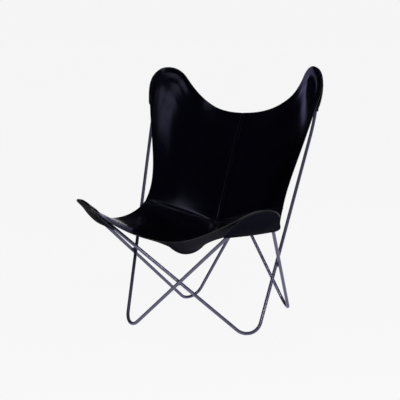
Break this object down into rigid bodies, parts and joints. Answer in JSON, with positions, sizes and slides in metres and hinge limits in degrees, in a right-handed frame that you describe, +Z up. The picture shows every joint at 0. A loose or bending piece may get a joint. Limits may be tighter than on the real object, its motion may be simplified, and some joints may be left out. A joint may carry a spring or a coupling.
{
  "type": "butterfly sling chair",
  "caption": "Low lounge chair: a leather sling hung by corner pockets from nested loops of bent steel rod that are welded where they cross.",
  "frame": {"origin": "on the floor under the middle of the chair", "axes": "+Z up, the sitter faces -Y, +X to the sitter's left; node names say left and right as seen from the front"},
  "size_m": [0.7384, 0.7924, 0.9004],
  "materials": {
    "rod": "black satin powder coat",
    "weld": "black satin powder coat over the weld bead",
    "leather": "semi-gloss black grain leather",
    "suede": "matte flesh side of the leather"
  },
  "bodies": {
    "root": {"rod_loop_right_back": "rod", "rod_loop_left_back": "rod", "weld_front_upper": "weld", "weld_front_lower": "weld", "weld_back_upper": "weld", "weld_back_lower": "weld", "weld_left_upper": "weld", "weld_left_lower": "weld", "weld_right_upper": "weld", "weld_right_lower": "weld", "back_panel_left": "leather", "back_panel_right": "leather", "seat_panel_left": "leather", "seat_panel_right": "leather", "back_pocket_left": "suede", "back_pocket_right": "suede", "front_pocket_left": "suede", "front_pocket_right": "suede"}
  },
  "joints": []
}
